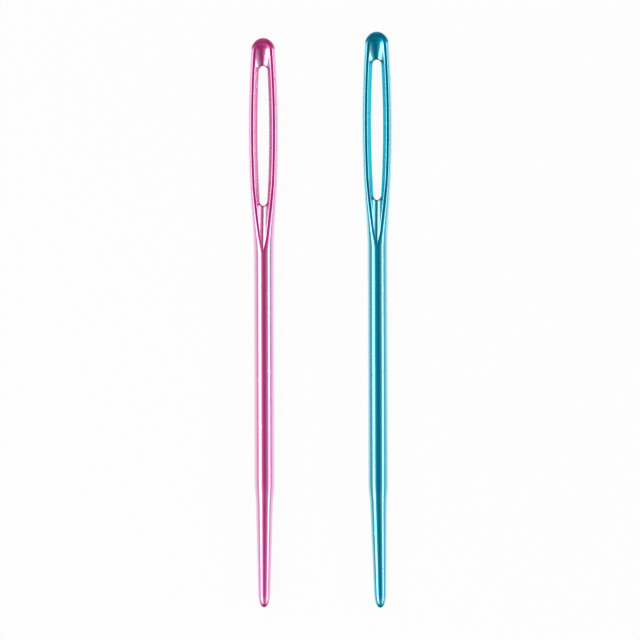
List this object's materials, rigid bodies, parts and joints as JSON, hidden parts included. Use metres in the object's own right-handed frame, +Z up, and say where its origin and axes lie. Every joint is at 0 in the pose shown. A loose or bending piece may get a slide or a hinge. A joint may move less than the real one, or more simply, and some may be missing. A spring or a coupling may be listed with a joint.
{
  "type": "yarn needle",
  "caption": "Slender large-eye yarn needles of dyed aluminium with blunt points, in pink and turquoise, lying side by side.",
  "frame": {"origin": "centre of the pair's footprint, on the surface that the needles lie on", "axes": "+Y along both needles toward their heads, +Z up through the eyes, +X from the pink needle to the turquoise one"},
  "size_m": [0.0192, 0.0767, 0.0026],
  "materials": {
    "pink_anodised": "polished, dyed and anodised",
    "turquoise_anodised": "polished, dyed and anodised"
  },
  "bodies": {
    "pink": {"pink_head": "pink_anodised", "pink_shaft": "pink_anodised", "pink_point": "pink_anodised"},
    "turquoise": {"turquoise_head": "turquoise_anodised", "turquoise_shaft": "turquoise_anodised", "turquoise_point": "turquoise_anodised"}
  },
  "joints": [
    {"name": "turquoise_lift", "type": "slide", "parent": "pink", "child": "turquoise", "axis": [0, 0, 1], "range_m": [0, 0.03]}
  ]
}
